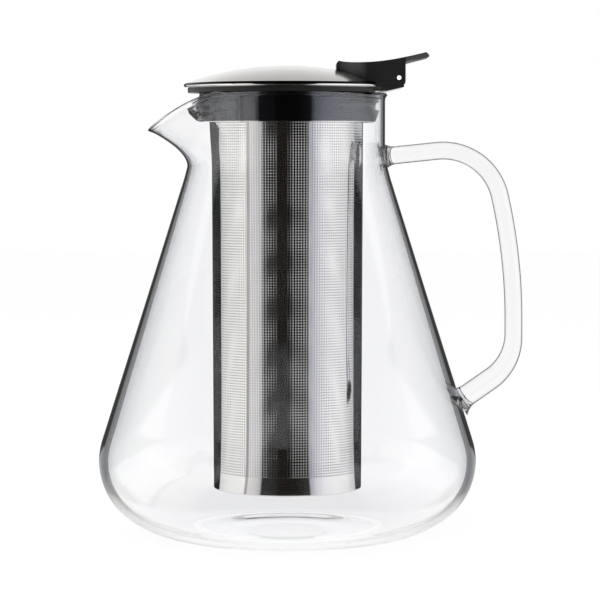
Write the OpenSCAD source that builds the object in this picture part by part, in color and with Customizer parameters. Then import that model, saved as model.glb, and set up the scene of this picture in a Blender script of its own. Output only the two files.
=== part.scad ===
// Fruit infuser pitcher: a blown glass jug with a pulled spout and a glass rod handle,
// a perforated steel basket hung from a collar in the neck, and a hinged steel lid.
// The origin is on the axis of the jug, at the level that it stands on.
// The spout points to -X and the handle to +X.

/* [Jug] */
// Height of the glass rim
rim_z = 193; // [180:0.5:215]
// Outer radius of the neck
neck_r = 43; // [42.5:0.1:45]
// Thickness of the glass
glass_t = 2.4; // [2:0.1:2.6]
// Height of the straight part of the neck
neck_h = 23.36; // [18:0.02:28]
// Width of the flat ring that the jug stands on
foot_w = 4; // [3:0.5:8]
// Radius of the soft curve that rises from the foot
toe_r = 48; // [40:1:56]
// Angle that the soft curve turns through
toe_angle = 34.5; // [30:0.5:38]
// Radius of the rounded corner under the cone
corner_r = 30; // [26:0.5:34]
// Slope of the cone from upright
cone_angle = 17.5; // [15:0.5:20]
// Radius of the hollow curve between cone and neck
neck_blend_r = 49; // [35:1:60]
// Height of the push-up in the middle of the base
punt_h = 3; // [1:0.5:6]
// How far the rim turns outwards
rim_flare = 2.2; // [1.5:0.1:3]

/* [Spout] */
// How far the spout reaches past the rim
spout_reach = 15.4; // [8:0.2:20]
// How far the lip of the spout dips below the rim
spout_drop = 15.3; // [8:0.1:20]
// Angle to each side over which the spout fades out
spout_half_angle = 54; // [40:1:70]
// Height over which the neck swells into the spout
spout_h = 32; // [26:0.5:34]

/* [Handle] */
// Diameter of the glass rod
rod_d = 7; // [5:0.5:9]
// Depth of the upper weld below the rim
handle_drop = 27.9; // [25:0.1:31]
// Length of the straight run that leaves the neck
top_run = 27; // [20:0.5:34]
// Angle at which the rod leaves the neck
top_angle = 6; // [0:1:12]
// Radius of the upper bend
top_bend_r = 24.3; // [16:0.1:30]
// Angle of the grip where the slow curve starts
grip_angle = -79; // [-84:1:-74]
// Length of the straight run below the slow curve
grip_run = 6.5; // [3:0.5:12]
// Radius of the lower bend
low_bend_r = 23; // [16:0.5:28]
// Height of the end of the lower bend
low_bend_z = 69.6; // [60:0.1:78]
// Angle at which the rod runs back to the jug
low_angle = -145; // [-150:1:-140]
// Spread of each weld past the rod
weld_spread = 2.2; // [1:0.1:3]
// Length over which each weld spreads
weld_run = 4.5; // [3:0.1:6]

/* [Collar and seals] */
// Width of the gap between the glass and the collar, which the seal fills
seal_w = 3.25; // [2.5:0.05:4]
// Thickness of the steel sheet
steel_t = 0.8; // [0.6:0.05:1]
// Height of the collar from its lower edge to the top of its flange
collar_h = 14.75; // [12:0.05:17]
// Width of the collar's flange past its band
flange_w = 3.65; // [3:0.05:4.5]
// Width of the rim gasket's edge past the flange
gasket_w = 2.2; // [1.5:0.1:3]
// Thickness of the rim gasket
gasket_t = 2; // [1.8:0.05:2.5]
// Thickness of the seal's sleeve
sleeve_t = 0.9; // [0.6:0.05:1.2]
// Depth of the upper sealing lip below the rim
upper_lip_drop = 3.8; // [3:0.1:5]
// Distance from the upper lip down to the lower lip
lip_pitch = 4.2; // [3.5:0.1:5]
// Thickness of a lip at its tip
lip_t = 0.8; // [0.5:0.05:1]

/* [Basket] */
// Width of the collar's shelf, between its band and the basket
shelf_w = 4.45; // [3.5:0.05:6]
// How much narrower the basket is at the bottom, on the radius
basket_taper = 0.7; // [0:0.1:2]
// Gap between the basket and the raised floor of the jug
basket_gap = 15.2; // [10:0.1:30]
// Thickness of the perforated sheet
basket_t = 0.5; // [0.4:0.05:0.8]
// Height of the plain cup that closes the basket
cup_h = 8.4; // [5:0.1:14]
// Rounding of the cup's lower edge
cup_edge_r = 2; // [1:0.1:4]
// Diameter of a strainer hole
hole_d = 3; // [1:0.1:4]
// Rows of holes up the wall
hole_rows = 10; // [4:1:14]
// Holes in a row
hole_columns = 16; // [8:1:22]
// Rings of holes in the floor
floor_rings = 4; // [1:1:5]

/* [Lid] */
// How far the lid reaches past the rim gasket
lid_over = 1.8; // [1.2:0.1:2.4]
// Radius of the rolled edge's section
bead_r = 1; // [0.8:0.05:1.1]
// Height of the dome above the rolled edge's top
dome_rise = 7.6; // [5:0.1:10]
// Clearance of the pan in the collar, on the radius
pan_fit = 0.35; // [0.3:0.05:0.6]
// Depth of the pan
pan_depth = 2; // [1.5:0.1:3]
// Thickness of the pan
pan_t = 0.5; // [0.4:0.05:0.6]

/* [Lever] */
// Distance of the hinge pin outside the lid's edge
pin_out = 2.5; // [2:0.1:3.5]
// Height of the hinge pin above the gasket
pin_rise = 3.9; // [3.7:0.05:4.2]
// Diameter of the hinge pin
pin_d = 1.9; // [1.6:0.1:2.2]
// Running clearance of the pin, on the radius
pin_fit = 0.05; // [0.02:0.01:0.1]
// Length of the lever in front of the hinge pin
lever_reach = 26.3; // [23:0.1:29]
// Half width of the lever at its front
lever_front_w = 12.5; // [10:0.5:14]
// Half width of the lever at the hinge
lever_w = 25; // [24:0.5:27]
// Thickness of the lever's walls
lever_t = 2; // [1.6:0.1:2.4]
// Thickness of the lever's back wall
lever_back_t = 1; // [0.8:0.05:1.1]
// How far the thumb tab reaches past the hinge pin
tab_reach = 13.5; // [10:0.1:18]
// Rise of the thumb tab above the pin
tab_rise = 11.2; // [9:0.1:14]
// Half width of the thumb tab at its end
tab_w = 18; // [12:0.5:22]
// How far the lid opens
open_angle = 95; // [80:1:95]

/* [Hidden] */

// Overrun of every cut
cut = 1;
// Gap between flat faces that rest on each other
seat = 0.05;
// Gap between curved faces that pass each other
pass_gap = 0.3;
// Steps in a drawn quarter turn
arc_steps = 12;
// Facets of a true circle
round_fn = 64;

// Radii that follow from the neck's bore, from the collar out to the hinge pin
neck_in_r = neck_r - glass_t;
collar_r = neck_in_r - seal_w;
flange_r = collar_r + flange_w;
gasket_r = flange_r + gasket_w;
lid_r = gasket_r + lid_over;
pin_x = lid_r + pin_out;

// Levels that the pieces share
gasket_z = rim_z + seat;
flange_z = gasket_z + gasket_t;
collar_z = flange_z - collar_h;
pin_z = flange_z + pin_rise;
bead_z = flange_z + 2 * seat + bead_r;
dome_edge_z = bead_z + bead_r;
dome_top_z = dome_edge_z + dome_rise;
dome_edge_r = lid_r - bead_r;
dome_r = (dome_edge_r * dome_edge_r + dome_rise * dome_rise) / (2 * dome_rise);
dome_c = dome_top_z - dome_r;

// Points on an arc about a centre, from one angle to another
function arc(c, r, a0, a1, n) =
    [for (i = [0 : n]) let (a = a0 + (a1 - a0) * i / n) [c[0] + r * cos(a), c[1] + r * sin(a)]];

// Joins of the jug's outline, from the neck down: hollow curve, cone, corner, toe curve, foot
blend_z = rim_z - neck_h;
blend_c = [neck_r + neck_blend_r, blend_z];
// Level at which the cone would reach the neck's radius
cone_top_z = blend_z - neck_blend_r * tan(cone_angle / 2);
// Radius of the cone at a level, set in by d
function cone_r(z, d) = neck_r + (cone_top_z - z) * tan(cone_angle) - d / cos(cone_angle);
corner_z = toe_r - (toe_r - corner_r) * cos(toe_angle);
corner_c = [cone_r(corner_z, corner_r), corner_z];
// Radius at which the base meets the table
foot_r = corner_c[0] - (toe_r - corner_r) * sin(toe_angle);
toe_c = [foot_r, toe_r];

// Outline of the glass from the foot up to the neck, set in from the outside by d
function glass_line(d) = concat(
    arc(toe_c, toe_r - d, -90, -90 + toe_angle, arc_steps / 2),
    arc(corner_c, corner_r - d, -90 + toe_angle, cone_angle, arc_steps),
    arc(blend_c, neck_blend_r + d, 180 + cone_angle, 180, arc_steps / 2));

// Level of the joint between the round body and the spouted neck
split_z = rim_z - spout_h;
// Radius of the outline at a level above the cone's foot, set in by d
function neck_line_r(z, d) =
    let (r = neck_blend_r + d, drop = blend_z - z)
    drop <= 0 ? neck_r - d
    : drop < r * sin(cone_angle) ? blend_c[0] - sqrt(r * r - drop * drop)
    : cone_r(z, d);

// Underside of the push-up, from the standing ring to the axis
function punt_line(d) =
    [for (i = [0 : arc_steps]) let (s = i / arc_steps)
        [(foot_r - foot_w) * (1 - s), d + punt_h * (1 - cos(180 * s)) / 2]];

// Points of an outline below the level of the joint
function below(line, z) = [for (p = line) if (p[1] < z) p];

module glass_round() {
    outer = below(glass_line(0), split_z);
    inner = below(glass_line(glass_t), split_z);
    rotate_extrude($fn = round_fn)
        polygon(concat(
            [for (i = [arc_steps : -1 : 0]) punt_line(0)[i]],
            outer,
            [[neck_line_r(split_z, 0), split_z], [neck_line_r(split_z, glass_t), split_z]],
            [for (i = [len(inner) - 1 : -1 : 0]) inner[i]],
            punt_line(glass_t)));
}

// Bearings round the neck, counted from the spout, close together across the spout
spout_steps = 14;
plain_steps = 28;
spout_span = spout_half_angle;
bearings = concat(
    [for (i = [-spout_steps : spout_steps]) spout_span * i / spout_steps],
    [for (i = [1 : plain_steps - 1]) spout_span + (360 - 2 * spout_span) * i / plain_steps]);

// Share of the spout's pull at a bearing
function pull_share(b) =
    let (a = b > 180 ? b - 360 : b)
    abs(a) < spout_half_angle ? (1 + cos(180 * a / spout_half_angle)) / 2 : 0;
// Powers that shape the dip of the lip and the swell of the throat
dip_power = 1.35;
swell_power = 1.6;
// Level of the rim at a bearing
function rim_level(b) = rim_z - spout_drop * pow(pull_share(b), dip_power);
// Height over which the rim turns outwards
flare_h = 2 * rim_flare;

// Radius of the outside of the neck at a bearing and a share of the way up
function mouth_r(b, s) =
    let (z = split_z + s * (rim_level(b) - split_z),
         f = max(0, (z - rim_level(b) + flare_h) / flare_h))
    neck_line_r(z, 0) + spout_reach * pull_share(b) * pow(s, swell_power) + rim_flare * f * f;

// One point of the neck: level share, depth into the glass and bearing
function mouth_point(b, s, d, rise) =
    let (z = split_z + s * (rim_level(b) - split_z) + rise, r = mouth_r(b, s) - d)
    [-r * cos(b), r * sin(b), z];

mouth_steps = 9;
lip_steps = 4;
// How far the neck reaches down inside the round body, and how far it is thinned there
root_h = 2;
root_thin = 0.3;

// Rings of the neck, from the outside of the root, over the lip, to the inside of the root
function root_ring(d) =
    [for (b = bearings) let (r = neck_line_r(split_z - root_h, 0) - d)
        [-r * cos(b), r * sin(b), split_z - root_h]];
rings = concat(
    [root_ring(root_thin)],
    [for (i = [1 : mouth_steps]) [for (b = bearings)
        mouth_point(b, i / mouth_steps, 0, -glass_t / 2 * pow(i / mouth_steps, 2))]],
    [for (i = [1 : lip_steps - 1]) let (a = 180 * i / lip_steps) [for (b = bearings)
        mouth_point(b, 1, glass_t / 2 * (1 - cos(a)), glass_t / 2 * (sin(a) - 1))]],
    [for (i = [mouth_steps : -1 : 1]) [for (b = bearings)
        mouth_point(b, i / mouth_steps, glass_t, -glass_t / 2 * pow(i / mouth_steps, 2))]],
    [root_ring(glass_t - root_thin)]);

// Closed skin over rings of points, whose last ring joins the first
module skin(rings) {
    n = len(rings[0]);
    m = len(rings);
    polyhedron(
        points = [for (r = rings) for (p = r) p],
        faces = [for (i = [0 : m - 1]) for (j = [0 : n - 1])
            let (a = i * n + j, b = i * n + (j + 1) % n,
                 c = (i + 1) % m * n + (j + 1) % n, d = (i + 1) % m * n + j)
            for (f = [[a, b, c], [a, c, d]]) f],
        convexity = 6);
}

module glass_body() {
    color([0.93, 0.95, 0.96, 0.35]) union() {
        glass_round();
        skin(rings);
    }
}

// Stations along the handle's centre line in the X-Z plane: place, heading and radius
function walk(p, a, l) = [p[0] + l * cos(a), p[1] + l * sin(a)];
function bend_at(p, a0, a1, r) =
    [p[0] + r * (sin(a0) - sin(a1)), p[1] - r * (cos(a0) - cos(a1))];
rod_p0 = [neck_in_r, rim_z - handle_drop];
rod_p1 = walk(rod_p0, top_angle, top_run);
rod_p2 = bend_at(rod_p1, top_angle, grip_angle, top_bend_r);
// Radius of the slow curve of the grip, which takes up the height that is left
grip_bend_r = (rod_p2[1] - grip_run - low_bend_z + low_bend_r * cos(low_angle)) / cos(grip_angle);
rod_p3 = bend_at(rod_p2, grip_angle, -90, grip_bend_r);
rod_p4 = walk(rod_p3, -90, grip_run);
rod_p5 = bend_at(rod_p4, -90, low_angle, low_bend_r);
// Length of the straight run from the lower bend to the outside of the cone
low_run = (cone_r(rod_p5[1], 0) - rod_p5[0]) / (cos(low_angle) + sin(low_angle) * tan(cone_angle));

// Radius of the rod at a distance from the glass that it is welded to
function weld_r(l) = rod_d / 2 + weld_spread * pow(max(0, 1 - l / weld_run), 2);
weld_steps = 5;
bend_steps = 12;
function bend_stations(p, a0, a1, r, n) =
    [for (i = [1 : n]) let (a = a0 + (a1 - a0) * i / n, q = bend_at(p, a0, a, r)) [q[0], q[1], a, rod_d / 2]];
stations = concat(
    [[rod_p0[0], rod_p0[1], top_angle, weld_r(0)]],
    [for (i = [0 : weld_steps]) let (l = weld_run * i / weld_steps, q = walk(rod_p0, top_angle, glass_t + l))
        [q[0], q[1], top_angle, weld_r(l)]],
    [[rod_p1[0], rod_p1[1], top_angle, rod_d / 2]],
    bend_stations(rod_p1, top_angle, grip_angle, top_bend_r, bend_steps),
    bend_stations(rod_p2, grip_angle, -90, grip_bend_r, bend_steps / 2),
    [[rod_p4[0], rod_p4[1], -90, rod_d / 2]],
    bend_stations(rod_p4, -90, low_angle, low_bend_r, bend_steps),
    [for (i = [weld_steps : -1 : 0]) let (l = weld_run * i / weld_steps,
        q = walk(rod_p5, low_angle, low_run - l)) [q[0], q[1], low_angle, weld_r(l)]],
    [let (q = walk(rod_p5, low_angle, low_run + glass_t)) [q[0], q[1], low_angle, weld_r(0)]]);

// Points round the rod at a station
rod_sides = 24;
function rod_ring(s) =
    [for (i = [0 : rod_sides - 1]) let (f = 360 * i / rod_sides)
        [s[0] - s[3] * cos(f) * sin(s[2]), s[3] * sin(f), s[1] + s[3] * cos(f) * cos(s[2])]];

// Closed skin over rings of points, with a flat end at each side
module rod_skin(rings) {
    n = len(rings[0]);
    m = len(rings);
    polyhedron(
        points = [for (r = rings) for (p = r) p],
        faces = concat(
            [[for (j = [n - 1 : -1 : 0]) j]],
            [for (i = [0 : m - 2]) for (j = [0 : n - 1])
                let (a = i * n + j, b = i * n + (j + 1) % n, c = a + n, d = b + n)
                for (f = [[a, b, d], [a, d, c]]) f],
            [[for (j = [0 : n - 1]) (m - 1) * n + j]]),
        convexity = 6);
}

// The jug's outside up to a level, as a solid that the ends of the rod are cut to
module jug_outside(z) {
    line = below(glass_line(0), z);
    rotate_extrude($fn = round_fn)
        polygon(concat([[0, 0]], line, [[neck_line_r(z, 0), z], [0, z]]));
}

module glass_handle() {
    color([0.93, 0.95, 0.96, 0.35]) difference() {
        rod_skin([for (s = stations) rod_ring(s)]);
        jug_outside(blend_z + rod_d);
    }
}

// Top flange, band and inward shelf of the collar, as one bent sheet
module collar() {
    color("silver") difference() {
        rotate_extrude($fn = round_fn)
            polygon([
                [basket_top_r + seat, collar_z],
                [collar_r, collar_z],
                [collar_r, flange_z - steel_t],
                [flange_r, flange_z - steel_t],
                [flange_r, flange_z],
                [collar_r - steel_t, flange_z],
                [collar_r - steel_t, collar_z + steel_t],
                [basket_top_r + seat, collar_z + steel_t]]);
        rivet_places() translate([0, 0, -cut])
            cylinder(h = 2 * steel_t + 2 * cut, r = rivet_r + seat / 2, $fn = round_fn);
    }
}

// Sleeve with two lips that hold the collar in the neck
lip_r = neck_in_r - pass_gap;
sleeve_in_r = collar_r + seat / 2;
sleeve_out_r = collar_r + sleeve_t;
// How far a lip's root reaches above its middle
lip_root = 1.4 * lip_t;
upper_lip_z = rim_z - upper_lip_drop;
lower_lip_z = upper_lip_z - lip_pitch;
module neck_seal() {
    color([0.45, 0.46, 0.48, 0.8]) rotate_extrude($fn = round_fn)
        polygon([
            [sleeve_in_r, collar_z + steel_t],
            [sleeve_out_r, collar_z + steel_t],
            [lip_r, lower_lip_z - lip_t / 2],
            [lip_r, lower_lip_z + lip_t / 2],
            [sleeve_out_r, lower_lip_z + lip_root],
            [sleeve_out_r, upper_lip_z - lip_root],
            [lip_r, upper_lip_z - lip_t / 2],
            [lip_r, upper_lip_z + lip_t / 2],
            [sleeve_out_r, upper_lip_z + lip_root],
            [sleeve_out_r, rim_z - seat],
            [sleeve_in_r, rim_z - seat]]);
}

// Half width of the hinge bracket, inside the lever's cheeks
bracket_w = lever_w - lever_t - 2 * pin_fit;
bracket_z = flange_z - 2 * steel_t;
module rim_gasket() {
    color([0.06, 0.06, 0.06]) difference() {
        rotate_extrude($fn = round_fn)
            polygon([
                [sleeve_in_r, gasket_z],
                [gasket_r, gasket_z],
                [gasket_r, flange_z],
                [flange_r + seat, flange_z],
                [flange_r + seat, flange_z - steel_t - seat / 2],
                [sleeve_in_r, flange_z - steel_t - seat / 2]]);
        translate([0, -bracket_w - seat, gasket_z - cut])
            cube([gasket_r + cut, 2 * bracket_w + 2 * seat, flange_z - steel_t + cut - gasket_z + seat]);
    }
}

// Radii of the basket at its top and bottom, and the level of its underside
basket_top_r = collar_r - shelf_w;
basket_low_r = basket_top_r - basket_taper;
basket_z = punt_h + glass_t + basket_gap;
// Radius of the basket at a level
function basket_r(z) =
    basket_low_r + (basket_top_r - basket_low_r) * (z - basket_z) / (collar_z - basket_z);
cup_z = basket_z + cup_h;
wall_top_z = collar_z + steel_t;
// Plain edge between the cup and the first row of holes, and above the last row
row_edge = 2 * hole_d;
row_pitch = (collar_z - row_edge - cup_z - row_edge) / (hole_rows - 1);

module basket_wall() {
    color("silver") difference() {
        rotate_extrude($fn = round_fn)
            polygon([
                [basket_r(cup_z) - basket_t, cup_z],
                [basket_r(cup_z), cup_z],
                [basket_top_r, wall_top_z],
                [basket_top_r - basket_t, wall_top_z]]);
        for (row = [0 : hole_rows - 1], column = [0 : hole_columns - 1])
            rotate([0, 0, 360 * (column + row % 2 / 2) / hole_columns])
                translate([basket_low_r / 2, 0, cup_z + row_edge + row * row_pitch])
                    rotate([0, 90, 0])
                        cylinder(h = basket_low_r, d = hole_d, $fn = round_fn / 4);
    }
}

// Pressed cup that closes the basket, with a drilled floor
floor_pitch = (basket_low_r - cup_edge_r - hole_d) / (floor_rings + 1);
module basket_cup() {
    out_r = basket_low_r;
    in_r = basket_low_r - basket_t;
    in_edge_r = cup_edge_r - basket_t;
    color("silver") difference() {
        rotate_extrude($fn = round_fn)
            polygon(concat(
                [[0, basket_z]],
                arc([out_r - cup_edge_r, basket_z + cup_edge_r], cup_edge_r, -90, 0, arc_steps / 2),
                [[out_r, cup_z - seat / 2], [in_r, cup_z - seat / 2]],
                arc([in_r - in_edge_r, basket_z + basket_t + in_edge_r], in_edge_r, 0, -90, arc_steps / 2),
                [[0, basket_z + basket_t]]));
        translate([0, 0, basket_z - cut])
            cylinder(h = basket_t + 2 * cut, d = hole_d, $fn = round_fn / 4);
        for (ring = [1 : floor_rings], i = [0 : 6 * ring - 1])
            rotate([0, 0, 60 * i / ring])
                translate([ring * floor_pitch, 0, basket_z - cut])
                    cylinder(h = basket_t + 2 * cut, d = hole_d, $fn = round_fn / 4);
    }
}

// Rivets that hold the bracket under the flange
rivet_r = 1;
rivet_head_r = 1.5;
rivet_place_r = (collar_r + flange_r) / 2 + rivet_r / 2;
rivet_angle = 20;
module rivet_places() {
    for (side = [-1, 1])
        rotate([0, 0, side * rivet_angle])
            translate([rivet_place_r, 0, bracket_z])
                children();
}

module bracket_rivets() {
    color("silver") rivet_places() union() {
        cylinder(h = 2 * steel_t, r = rivet_r, $fn = round_fn);
        translate([0, 0, gasket_z - bracket_z])
            cylinder(h = bracket_z - gasket_z, r = rivet_head_r, $fn = round_fn);
    }
}

// Bracket: a tongue that leaves the collar under the lid, with an ear at each end for the pin
eye_r = pin_d / 2 + 0.65 * steel_t;
ear_t = 1.5 * steel_t;
ramp_x = neck_r;
ramp_rise = 2 * steel_t;
tongue_end_x = pin_x + 3 * eye_r / 2;
// Front of the leg, clear of the lid's edge, and its back, which stops the open lever
leg_front_x = sqrt(pow(lid_r + pass_gap, 2) - pow(bracket_w - ear_t, 2)) + seat;
back_gap = 0.17 * pin_d;
// Back of the lever, and the rounding of its lower edge, which meets the legs when the lid is open
lever_back_x = pin_x + eye_r + back_gap + lever_back_t;
heel_r = 1.3 * lever_t;
leg_back_x = pin_x - seat
    + (lever_back_x - pin_x) * cos(open_angle) - (pin_rise - heel_r) * sin(open_angle);
module hinge_bracket() {
    color("silver") difference() {
        union() {
            rotate([90, 0, 0])
                translate([0, 0, -bracket_w])
                    linear_extrude(height = 2 * bracket_w)
                        polygon([
                            [collar_r * cos(asin(bracket_w / collar_r)), bracket_z],
                            [ramp_x, bracket_z],
                            [tongue_end_x, bracket_z + ramp_rise],
                            [tongue_end_x, bracket_z + ramp_rise + steel_t],
                            [ramp_x, bracket_z + steel_t - seat / 2],
                            [collar_r * cos(asin(bracket_w / collar_r)), bracket_z + steel_t - seat / 2]]);
            for (side = [-1, 1])
                rotate([90, 0, 0])
                    translate([0, 0, side < 0 ? -bracket_w : bracket_w - ear_t])
                        linear_extrude(height = ear_t)
                            ear_outline();
        }
        translate([0, 0, bracket_z - cut])
            cylinder(h = pin_rise, r = sleeve_out_r + seat, $fn = round_fn);
        pin_rod(pin_d / 2 + seat / 4, bracket_w + cut);
        rivet_places() translate([0, 0, -cut])
            cylinder(h = steel_t + 2 * cut, r = rivet_r + seat / 2, $fn = round_fn);
    }
}

module ear_outline() {
    union() {
        polygon([
            [leg_front_x, bracket_z + steel_t / 2],
            [leg_back_x, bracket_z + steel_t],
            [leg_back_x, pin_z - eye_r / 2],
            [pin_x, pin_z + 0.9 * eye_r],
            [pin_x - 0.9 * eye_r, pin_z],
            [leg_front_x + steel_t, flange_z + steel_t],
            [leg_front_x, flange_z]]);
        translate([pin_x, pin_z])
            circle(r = eye_r, $fn = round_fn);
    }
}

// A rod along the hinge line, reaching the same way to both sides
module pin_rod(r, half) {
    translate([pin_x, half, pin_z])
        rotate([90, 0, 0])
            cylinder(h = 2 * half, r = r, $fn = round_fn);
}

module hinge_pin() {
    color("silver") pin_rod(pin_d / 2, lever_w - seat);
}

// Domed lid with a rolled edge
dome_t = steel_t;
module lid_dome() {
    color("gainsboro") difference() {
        union() {
            difference() {
                intersection() {
                    translate([0, 0, dome_c])
                        sphere(r = dome_r, $fn = round_fn);
                    translate([0, 0, bead_z])
                        cylinder(h = dome_rise + bead_r + cut, r = dome_edge_r, $fn = round_fn);
                }
                translate([0, 0, dome_c])
                    sphere(r = dome_r - dome_t, $fn = round_fn);
            }
            rotate_extrude($fn = round_fn)
                translate([dome_edge_r, bead_z])
                    circle(r = bead_r, $fn = round_fn);
        }
        screw_places()
            cylinder(h = dome_top_z, r = screw_r + seat, $fn = round_fn);
    }
}

// Pan that closes the underside of the lid and rests on the rim
pan_z = flange_z + seat;
pan_r = collar_r - steel_t - pan_t - pan_fit;
pan_out_r = dome_edge_r - bead_r;
module lid_pan() {
    color("silver") difference() {
        rotate_extrude($fn = round_fn)
            polygon([
                [0, pan_z - pan_depth],
                [pan_r - pan_t, pan_z - pan_depth],
                [pan_r + pan_t, pan_z],
                [pan_out_r, pan_z],
                [pan_out_r, pan_z + pan_t],
                [pan_r, pan_z + pan_t],
                [pan_r - 2 * pan_t, pan_z - pan_depth + pan_t],
                [0, pan_z - pan_depth + pan_t]]);
        screw_places()
            cylinder(h = dome_top_z, r = screw_r + seat, $fn = round_fn);
    }
}

// Screws that hold the lever to the lid from below
screw_r = 1.2;
screw_head_r = 2.2;
screw_head_h = 1.1;
screw_y = lever_front_w - lever_t + screw_r / 2;
screw_x = sqrt(pow(pan_r - 2 * screw_head_r, 2) - screw_y * screw_y);
boss_r = 2.5 * screw_r;
module screw_places() {
    for (side = [-1, 1])
        translate([screw_x, side * screw_y, 0])
            children();
}

module lever_screws() {
    head_z = pan_z - pan_depth - seat / 2 - screw_head_h;
    color("silver") screw_places() union() {
        translate([0, 0, head_z])
            cylinder(h = screw_head_h, r = screw_head_r, $fn = round_fn);
        translate([0, 0, head_z])
            cylinder(h = lever_roof_z(screw_x) - lever_t - head_z, r = screw_r, $fn = round_fn);
    }
}

// Ridge of the lever, a curve from its front, through a dip, up to the end of the tab
lever_front_x = pin_x - lever_reach;
ridge_a = [lever_front_x + 0.4 * lever_t, pin_z + 0.68 * tab_rise];
ridge_b = [lever_front_x + 7.4 * lever_t, pin_z + 0.4 * tab_rise];
ridge_c = [pin_x + 0.89 * tab_reach, pin_z + tab_rise];
ridge_steps = 16;
function ridge(t) =
    ridge_a * (1 - t) * (1 - t) + ridge_b * 2 * t * (1 - t) + ridge_c * t * t;
// Curve parameter at a place along X
function ridge_t(x) =
    let (a = ridge_a[0] - 2 * ridge_b[0] + ridge_c[0], b = 2 * (ridge_b[0] - ridge_a[0]), c = ridge_a[0] - x)
    (-b + sqrt(b * b - 4 * a * c)) / (2 * a);
function lever_roof_z(x) = ridge(ridge_t(x))[1];

// Side view of the lever
lever_low_z = pin_z - pin_rise;
module lever_side() {
    polygon(concat(
        [[lever_front_x, lever_low_z], [lever_front_x, ridge_a[1] - lever_t / 2]],
        [for (i = [0 : ridge_steps]) ridge(i / ridge_steps)],
        [[pin_x + tab_reach, ridge_c[1] - 0.65 * lever_t],
         [pin_x + tab_reach - 0.1 * lever_t, ridge_c[1] - 0.95 * lever_t],
         [lever_back_x + 0.2 * lever_t, lever_roof_z(lever_back_x) - 0.95 * lever_t],
         [lever_back_x, lever_roof_z(lever_back_x) - 1.2 * lever_t]],
        arc([lever_back_x - heel_r, lever_low_z + heel_r], heel_r, 0, -90, arc_steps / 2)));
}

// Inside of the lever in side view, open below
module lever_side_inside() {
    back = lever_back_x - lever_back_t;
    polygon(concat(
        [[lever_front_x + lever_t, lever_low_z - cut]],
        [for (i = [0 : ridge_steps]) let (x = lever_front_x + lever_t
            + (back - lever_front_x - lever_t) * i / ridge_steps) [x, lever_roof_z(x) - lever_t]],
        [[back, lever_low_z - cut]]));
}

// Plan of the lever, set in by d: it fans out from its front to the hinge, and the tab narrows
fan_x = (pin_x - lever_front_x) / 2;
tab_corner_r = 3 * lever_t;
function fan_w(x) =
    lever_front_w + (lever_w - lever_front_w)
        * (1 - cos(180 * min(1, max(0, (x - lever_front_x) / fan_x)))) / 2;
function half_plan(d) = concat(
    [for (i = [0 : arc_steps]) let (x = lever_front_x + d + (fan_x - d) * i / arc_steps)
        [x, fan_w(x) - d]],
    [[lever_back_x, lever_w - d]],
    arc([pin_x + tab_reach - tab_corner_r, tab_w - tab_corner_r], tab_corner_r - d, 45, 0, arc_steps / 2));
module lever_plan(d) {
    half = half_plan(d);
    polygon(concat(half, [for (i = [len(half) - 1 : -1 : 0]) [half[i][0], -half[i][1]]]));
}

// Space that the lid takes under the lever
module lid_space() {
    intersection() {
        translate([0, 0, dome_c])
            sphere(r = dome_r + seat, $fn = round_fn);
        translate([0, 0, lever_low_z - cut])
            cylinder(h = dome_top_z, r = dome_edge_r, $fn = round_fn);
    }
    translate([0, 0, lever_low_z - cut])
        cylinder(h = dome_edge_z + cut - lever_low_z + seat, r = lid_r + seat, $fn = round_fn);
}

module lid_lever() {
    color([0.08, 0.08, 0.08]) difference() {
        union() {
            difference() {
                intersection() {
                    rotate([90, 0, 0])
                        translate([0, 0, -lever_w - cut])
                            linear_extrude(height = 2 * lever_w + 2 * cut)
                                lever_side();
                    translate([0, 0, lever_low_z - cut])
                        linear_extrude(height = dome_top_z)
                            lever_plan(0);
                }
                intersection() {
                    rotate([90, 0, 0])
                        translate([0, 0, -lever_w])
                            linear_extrude(height = 2 * lever_w)
                                lever_side_inside();
                    translate([0, 0, lever_low_z - 2 * cut])
                        linear_extrude(height = dome_top_z)
                            lever_plan(lever_t);
                }
                translate([pin_x, -lever_w + lever_t, lever_low_z - cut])
                    cube([tab_reach, 2 * (lever_w - lever_t), heel_r + cut]);
            }
            screw_places() translate([0, 0, dome_edge_z])
                cylinder(h = lever_roof_z(screw_x) - lever_t / 2 - dome_edge_z, r = boss_r, $fn = round_fn);
        }
        lid_space();
        pin_rod(pin_d / 2 + pin_fit, lever_w + cut);
        screw_places()
            cylinder(h = lever_roof_z(screw_x) - lever_t + seat, r = screw_r + seat / 2, $fn = round_fn);
    }
}

glass_body();
glass_handle();
collar();
neck_seal();
rim_gasket();
basket_wall();
basket_cup();
hinge_bracket();
bracket_rivets();
hinge_pin();
lid_dome();
lid_pan();
lid_lever();
lever_screws();
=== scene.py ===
"""Fruit infuser pitcher: blown glass jug, perforated steel basket, hinged steel lid with a black lever.

Everything stands in the CAD's frame: the origin is on the jug's axis at the table, +Z is up,
the spout points to -X and the handle to +X. Lengths are in millimetres until a mesh is made.
"""
import math

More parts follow.
